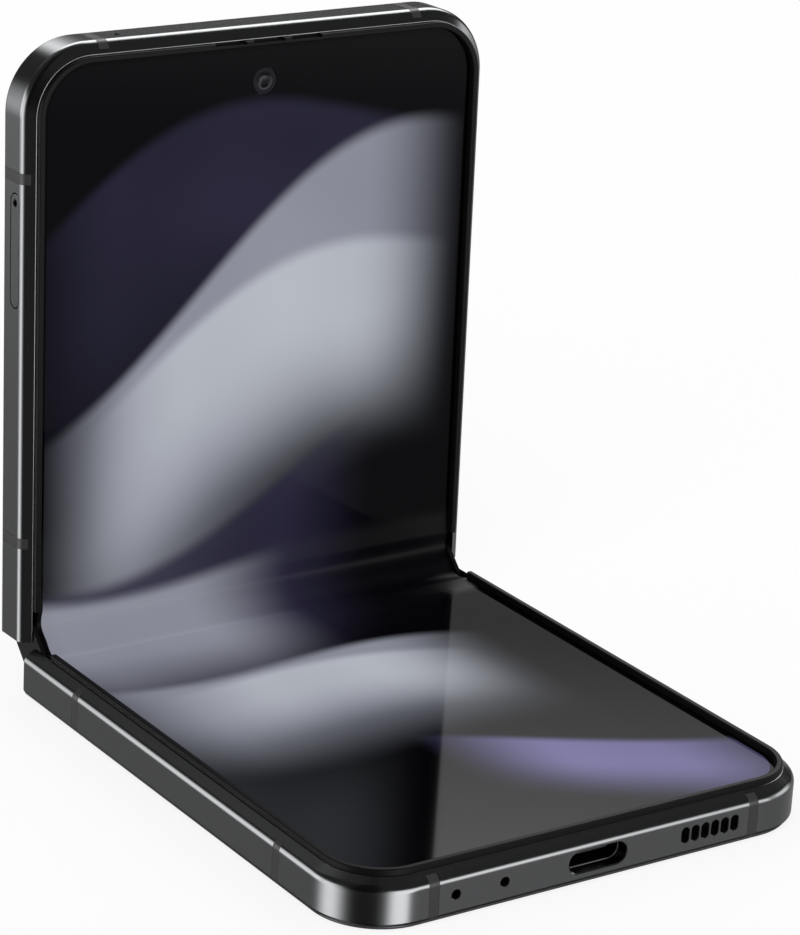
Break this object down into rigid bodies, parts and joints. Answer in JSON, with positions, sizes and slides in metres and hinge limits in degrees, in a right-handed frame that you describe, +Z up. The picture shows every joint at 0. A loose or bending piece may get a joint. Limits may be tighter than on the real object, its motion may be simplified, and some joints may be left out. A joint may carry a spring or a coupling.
{
  "type": "foldable smartphone",
  "caption": "Clamshell phone with a folding inner display, geared dual-axis hinge, bar-shaped spine, two rear cameras, keys and a card tray.",
  "frame": {"origin": "centre of the lower half's back face, which lies on the table", "axes": "+Z up, out of the lower half's display; +Y from the lower half's free end towards the hinge; +X to the right for the user"},
  "size_m": [0.0723, 0.0913, 0.0889],
  "materials": {
    "rail_metal": "polished anodised graphite",
    "band_plastic": "fine matt",
    "back_glass": "frosted glass with a graphite coat",
    "rim_plastic": "fine matt",
    "display": "glossy black",
    "steel": "fine brushed",
    "battery_film": "satin film",
    "copper": "enamelled copper",
    "board": "solder resist",
    "black_plastic": "moulded",
    "mesh": "woven",
    "gold_can": "gold flash",
    "magnet": "nickel plated",
    "spine_metal": "polished anodised graphite",
    "flex_film": "polyimide",
    "lens_glass": "coated",
    "flash_plastic": "frosted",
    "card": "satin card with contacts",
    "key_metal": "satin graphite"
  },
  "bodies": {
    "lower_half": {"lower_frame": "rail_metal", "lower_antenna_bands": "band_plastic", "lower_back_glass": "back_glass", "lower_bezel": "rim_plastic", "lower_display": "display", "lower_display_plate": "steel", "lower_battery": "battery_film", "charging_coil": "copper", "lower_board": "board", "usb_shell": "steel", "usb_tongue": "black_plastic", "loudspeaker": "black_plastic", "speaker_mesh": "mesh", "vibration_motor": "steel", "bottom_microphones": "gold_can", "lower_screws": "steel", "lower_magnets": "magnet", "lower_hinge_arms": "steel"},
    "hinge_spine": {"hinge_spine_cover": "spine_metal", "hinge_end_caps": "spine_metal", "hinge_brackets": "steel", "hinge_pins": "steel", "friction_springs": "steel", "hinge_center_plate": "steel", "hinge_flex": "flex_film", "fold_display": "display"},
    "idlers_lower": {"idler_gears_lower": "steel"},
    "idlers_upper": {"idler_gears_upper": "steel"},
    "upper_half": {"upper_frame": "rail_metal", "upper_antenna_bands": "band_plastic", "upper_back_glass": "back_glass", "cover_display": "display", "upper_bezel": "rim_plastic", "upper_display": "display", "upper_display_plate": "steel", "upper_hinge_arms": "steel", "main_board": "board", "board_shields": "steel", "upper_battery": "battery_film", "front_camera": "black_plastic", "front_camera_lens": "lens_glass", "earpiece": "steel", "earpiece_mesh": "mesh", "rear_cameras": "black_plastic", "camera_rings": "rail_metal", "camera_lenses": "lens_glass", "flash_lens": "flash_plastic", "card_reader": "steel", "key_switches": "steel", "top_microphone": "gold_can", "upper_screws": "steel", "upper_magnets": "magnet"},
    "card_tray": {"sim_tray": "rail_metal", "nano_card": "card"},
    "volume_rocker": {"volume_key": "rail_metal"},
    "side_button": {"side_key": "key_metal"}
  },
  "joints": [
    {"name": "fold_lower", "type": "hinge", "parent": "lower_half", "child": "hinge_spine", "pos_m": [0, 0.03927, 0.00555], "axis": [1, 0, 0], "range_deg": [-44.5, 45.5], "deforming": ["fold_display"]},
    {"name": "fold_upper", "type": "hinge", "parent": "hinge_spine", "child": "upper_half", "pos_m": [0, 0.04213, 0.00835], "axis": [1, 0, 0], "range_deg": [-52, 53]},
    {"name": "idler_turn_lower", "type": "hinge", "parent": "hinge_spine", "child": "idlers_lower", "pos_m": [0, 0.04136, 0.00432], "axis": [1, 0, 0], "range_deg": [-42, 42]},
    {"name": "idler_turn_upper", "type": "hinge", "parent": "hinge_spine", "child": "idlers_upper", "pos_m": [0, 0.04332, 0.00624], "axis": [1, 0, 0], "range_deg": [-42, 42]},
    {"name": "tray_pull", "type": "slide", "parent": "upper_half", "child": "card_tray", "axis": [-1, 0, 0], "range_m": [0, 0.0165]},
    {"name": "volume_rock", "type": "hinge", "parent": "upper_half", "child": "volume_rocker", "pos_m": [0.0339, 0.04533, 0.05731], "axis": [0, -0.9998, 0.0175], "range_deg": [-1.2, 1.2], "stiffness_Nm_per_rad": 0.4},
    {"name": "side_press", "type": "slide", "parent": "upper_half", "child": "side_button", "axis": [-1, 0, 0], "range_m": [0, 0.00025], "stiffness_N_per_m": 2000}
  ],
  "couplings": [
    {"joint": "fold_upper", "follows": "fold_lower", "ratio": 1},
    {"joint": "idler_turn_lower", "follows": "fold_lower", "ratio": 0.76471},
    {"joint": "idler_turn_upper", "follows": "fold_lower", "ratio": -0.76471}
  ]
}
